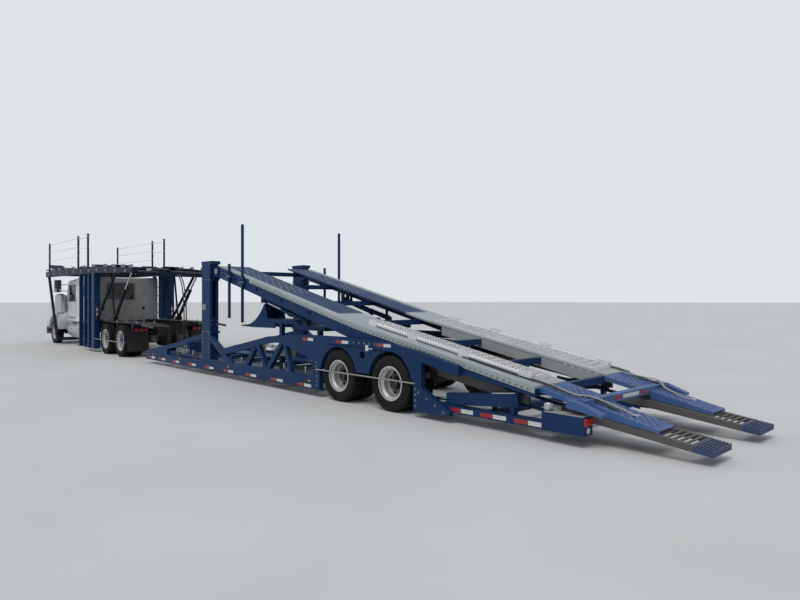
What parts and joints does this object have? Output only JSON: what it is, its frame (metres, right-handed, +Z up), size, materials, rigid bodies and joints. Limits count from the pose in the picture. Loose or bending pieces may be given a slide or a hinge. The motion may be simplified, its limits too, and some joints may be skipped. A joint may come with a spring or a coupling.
{
  "type": "car transporter truck",
  "caption": "Long-nose sleeper tractor with a car rack over its cab, and a hinged low car trailer with its upper deck lowered and ramps out.",
  "frame": {"origin": "on the floor under the middle of the whole vehicle, at its centre line", "axes": "+X towards the front bumper, +Y to the left side, +Z up"},
  "size_m": [25.1, 2.86, 3.84],
  "materials": {
    "blue_paint": "satin enamel",
    "light_blue_paint": "satin enamel, worn",
    "white_paint": "gloss enamel",
    "deck_grey": "worn grey deck coating",
    "skid_white": "worn white paint",
    "black_steel": "chassis black, dusty",
    "cast_metal": "raw casting",
    "ramp_steel": "worn steel",
    "wheel_steel": "dull",
    "tyre_rubber": "matte",
    "hose_rubber": "matte",
    "chrome_parts": "polished",
    "aluminium_parts": "polished",
    "window_glass": "tinted",
    "lamp_glass": "clear lens",
    "dark_plastic": "grained",
    "seat_fabric": "woven"
  },
  "bodies": {
    "tractor": {"tractor_frame": "black_steel", "steer_axle": "black_steel", "drive_axles": "black_steel", "engine": "cast_metal", "bumper": "chrome_parts", "cab_shell": "white_paint", "sleeper_shell": "white_paint", "cab_glass": "window_glass", "seats": "seat_fabric", "dashboard": "dark_plastic", "fuel_tanks": "aluminium_parts", "air_cleaners": "aluminium_parts", "rack_frame": "blue_paint", "rack_runways": "deck_grey", "tractor_towers": "blue_paint", "tractor_lower_deck": "blue_paint", "hose_left": "hose_rubber", "hose_right": "hose_rubber"},
    "hood": {"hood_shell": "white_paint", "grille": "chrome_parts", "headlamps": "lamp_glass"},
    "door_left": {"door_left": "white_paint", "door_glass_left": "window_glass"},
    "door_right": {"door_right": "white_paint", "door_glass_right": "window_glass"},
    "knuckle_left": {"knuckle_left": "black_steel"},
    "knuckle_right": {"knuckle_right": "black_steel"},
    "wheel_steer_left": {"rim_steer_left": "wheel_steel", "tyre_steer_left": "tyre_rubber"},
    "wheel_steer_right": {"rim_steer_right": "wheel_steel", "tyre_steer_right": "tyre_rubber"},
    "trailer": {"trailer_side_left": "blue_paint", "trailer_side_right": "blue_paint", "trailer_floor": "blue_paint", "trailer_axles": "black_steel", "trailer_rear_frame": "blue_paint", "trailer_middle_deck": "blue_paint"},
    "upper_deck": {"deck_frame": "blue_paint", "deck_runways": "deck_grey", "deck_skids": "skid_white", "deck_flaps": "light_blue_paint"},
    "ramp_left": {"ramp_left": "ramp_steel"},
    "ramp_right": {"ramp_right": "ramp_steel"},
    "wheels_drive_front_left": {"tyres_drive_front_left": "tyre_rubber", "rims_drive_front_left": "wheel_steel"},
    "wheels_drive_front_right": {"tyres_drive_front_right": "tyre_rubber", "rims_drive_front_right": "wheel_steel"},
    "wheels_drive_rear_left": {"tyres_drive_rear_left": "tyre_rubber", "rims_drive_rear_left": "wheel_steel"},
    "wheels_drive_rear_right": {"tyres_drive_rear_right": "tyre_rubber", "rims_drive_rear_right": "wheel_steel"},
    "wheels_trailer_front_left": {"tyres_trailer_front_left": "tyre_rubber", "rims_trailer_front_left": "wheel_steel"},
    "wheels_trailer_front_right": {"tyres_trailer_front_right": "tyre_rubber", "rims_trailer_front_right": "wheel_steel"},
    "wheels_trailer_rear_left": {"tyres_trailer_rear_left": "tyre_rubber", "rims_trailer_rear_left": "wheel_steel"},
    "wheels_trailer_rear_right": {"tyres_trailer_rear_right": "tyre_rubber", "rims_trailer_rear_right": "wheel_steel"}
  },
  "joints": [
    {"name": "hood_tilt", "type": "hinge", "parent": "tractor", "child": "hood", "pos_m": [12.25, 0, 0.65], "axis": [0, 1, 0], "range_deg": [0, 24]},
    {"name": "door_left_hinge", "type": "hinge", "parent": "tractor", "child": "door_left", "pos_m": [10.19, 0.946, 1.6], "axis": [0, 0, -1], "range_deg": [0, 65]},
    {"name": "door_right_hinge", "type": "hinge", "parent": "tractor", "child": "door_right", "pos_m": [10.19, -0.946, 1.6], "axis": [0, 0, 1], "range_deg": [0, 65]},
    {"name": "steer_left", "type": "hinge", "parent": "tractor", "child": "knuckle_left", "pos_m": [11.27, 0.86, 0.464], "axis": [0, 0, 1], "range_deg": [-32, 32]},
    {"name": "steer_right", "type": "hinge", "parent": "tractor", "child": "knuckle_right", "pos_m": [11.27, -0.86, 0.464], "axis": [0, 0, 1], "range_deg": [-32, 32]},
    {"name": "wheel_steer_left_spin", "type": "hinge", "parent": "knuckle_left", "child": "wheel_steer_left", "pos_m": [11.27, 1.03, 0.464], "axis": [0, 1, 0], "continuous": true},
    {"name": "wheel_steer_right_spin", "type": "hinge", "parent": "knuckle_right", "child": "wheel_steer_right", "pos_m": [11.27, -1.03, 0.464], "axis": [0, 1, 0], "continuous": true},
    {"name": "wheels_drive_front_left_spin", "type": "hinge", "parent": "tractor", "child": "wheels_drive_front_left", "pos_m": [4.955, 1, 0.464], "axis": [0, 1, 0], "continuous": true},
    {"name": "wheels_drive_front_right_spin", "type": "hinge", "parent": "tractor", "child": "wheels_drive_front_right", "pos_m": [4.955, -1, 0.464], "axis": [0, 1, 0], "continuous": true},
    {"name": "wheels_drive_rear_left_spin", "type": "hinge", "parent": "tractor", "child": "wheels_drive_rear_left", "pos_m": [3.635, 1, 0.464], "axis": [0, 1, 0], "continuous": true},
    {"name": "wheels_drive_rear_right_spin", "type": "hinge", "parent": "tractor", "child": "wheels_drive_rear_right", "pos_m": [3.635, -1, 0.464], "axis": [0, 1, 0], "continuous": true},
    {"name": "wheels_trailer_front_left_spin", "type": "hinge", "parent": "trailer", "child": "wheels_trailer_front_left", "pos_m": [-6.9, 1, 0.419], "axis": [0, 1, 0], "continuous": true},
    {"name": "wheels_trailer_front_right_spin", "type": "hinge", "parent": "trailer", "child": "wheels_trailer_front_right", "pos_m": [-6.9, -1, 0.419], "axis": [0, 1, 0], "continuous": true},
    {"name": "wheels_trailer_rear_left_spin", "type": "hinge", "parent": "trailer", "child": "wheels_trailer_rear_left", "pos_m": [-8.15, 1, 0.419], "axis": [0, 1, 0], "continuous": true},
    {"name": "wheels_trailer_rear_right_spin", "type": "hinge", "parent": "trailer", "child": "wheels_trailer_rear_right", "pos_m": [-8.15, -1, 0.419], "axis": [0, 1, 0], "continuous": true},
    {"name": "trailer_pivot", "type": "hinge", "parent": "tractor", "child": "trailer", "pos_m": [2.05, 0, 0.43], "axis": [0, 0, 1], "range_deg": [-60, 60]},
    {"name": "deck_tilt", "type": "hinge", "parent": "trailer", "child": "upper_deck", "pos_m": [-2.45, 0, 2.28], "axis": [0, 1, 0], "range_deg": [0, 13]},
    {"name": "ramp_left_slide", "type": "slide", "parent": "trailer", "child": "ramp_left", "axis": [0.9906, 0, 0.1369], "range_m": [0, 1.3]},
    {"name": "ramp_right_slide", "type": "slide", "parent": "trailer", "child": "ramp_right", "axis": [0.9906, 0, 0.1369], "range_m": [0, 1.3]}
  ],
  "couplings": [
    {"joint": "steer_right", "follows": "steer_left", "ratio": 1}
  ]
}
